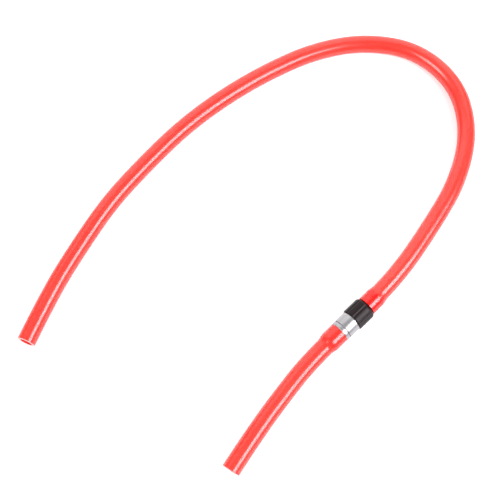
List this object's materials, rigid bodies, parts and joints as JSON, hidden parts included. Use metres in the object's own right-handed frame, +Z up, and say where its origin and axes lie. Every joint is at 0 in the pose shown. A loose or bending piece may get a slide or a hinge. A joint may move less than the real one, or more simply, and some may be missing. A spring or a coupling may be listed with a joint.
{
  "type": "siphon hose with in-line check valve",
  "caption": "Translucent red siphon hose in a long and a short length, joined by a small metal in-line check valve with a fluted black hand nut.",
  "frame": {"origin": "on the surface the hose lies on, below the middle of the valve", "axes": "+X along the valve's axis towards the long hose, +Z up from the surface"},
  "size_m": [0.3395, 0.1996, 0.0153],
  "materials": {
    "hose_red": "glossy translucent flexible PVC",
    "body_metal": "satin, fine turning marks",
    "nut_black": "satin moulded",
    "seal_rubber": "matte",
    "washer_plastic": "satin",
    "spider_plastic": "satin",
    "ball_steel": "polished",
    "spring_steel": "bright drawn wire"
  },
  "bodies": {
    "valve": {"barrel": "body_metal", "inlet_cap": "body_metal", "cap_o_ring": "seal_rubber", "seat_ring": "seal_rubber", "check_spring": "spring_steel", "spring_spider": "spider_plastic", "circlip": "spring_steel", "tail_seal": "seal_rubber", "short_hose": "hose_red", "short_hose_open_end": "hose_red"},
    "tail": {"tail_piece": "body_metal", "slip_washer": "washer_plastic", "long_hose": "hose_red", "long_hose_open_end": "hose_red"},
    "nut": {"union_nut": "nut_black"},
    "ball": {"check_ball": "ball_steel"}
  },
  "joints": [
    {"name": "union_travel", "type": "slide", "parent": "valve", "child": "tail", "axis": [1, 0, 0], "range_m": [0, 0.006]},
    {"name": "nut_turn", "type": "hinge", "parent": "tail", "child": "nut", "pos_m": [0, 0, 0.00769], "axis": [1, 0, 0], "range_deg": [0, 1440]},
    {"name": "ball_lift", "type": "slide", "parent": "valve", "child": "ball", "axis": [1, 0, 0], "range_m": [0, 0.0025], "stiffness_N_per_m": 8, "springref_m": -0.002, "deforming": ["check_spring"]}
  ],
  "couplings": [
    {"joint": "nut_turn", "follows": "union_travel", "rad_per_m": 4188.8}
  ]
}
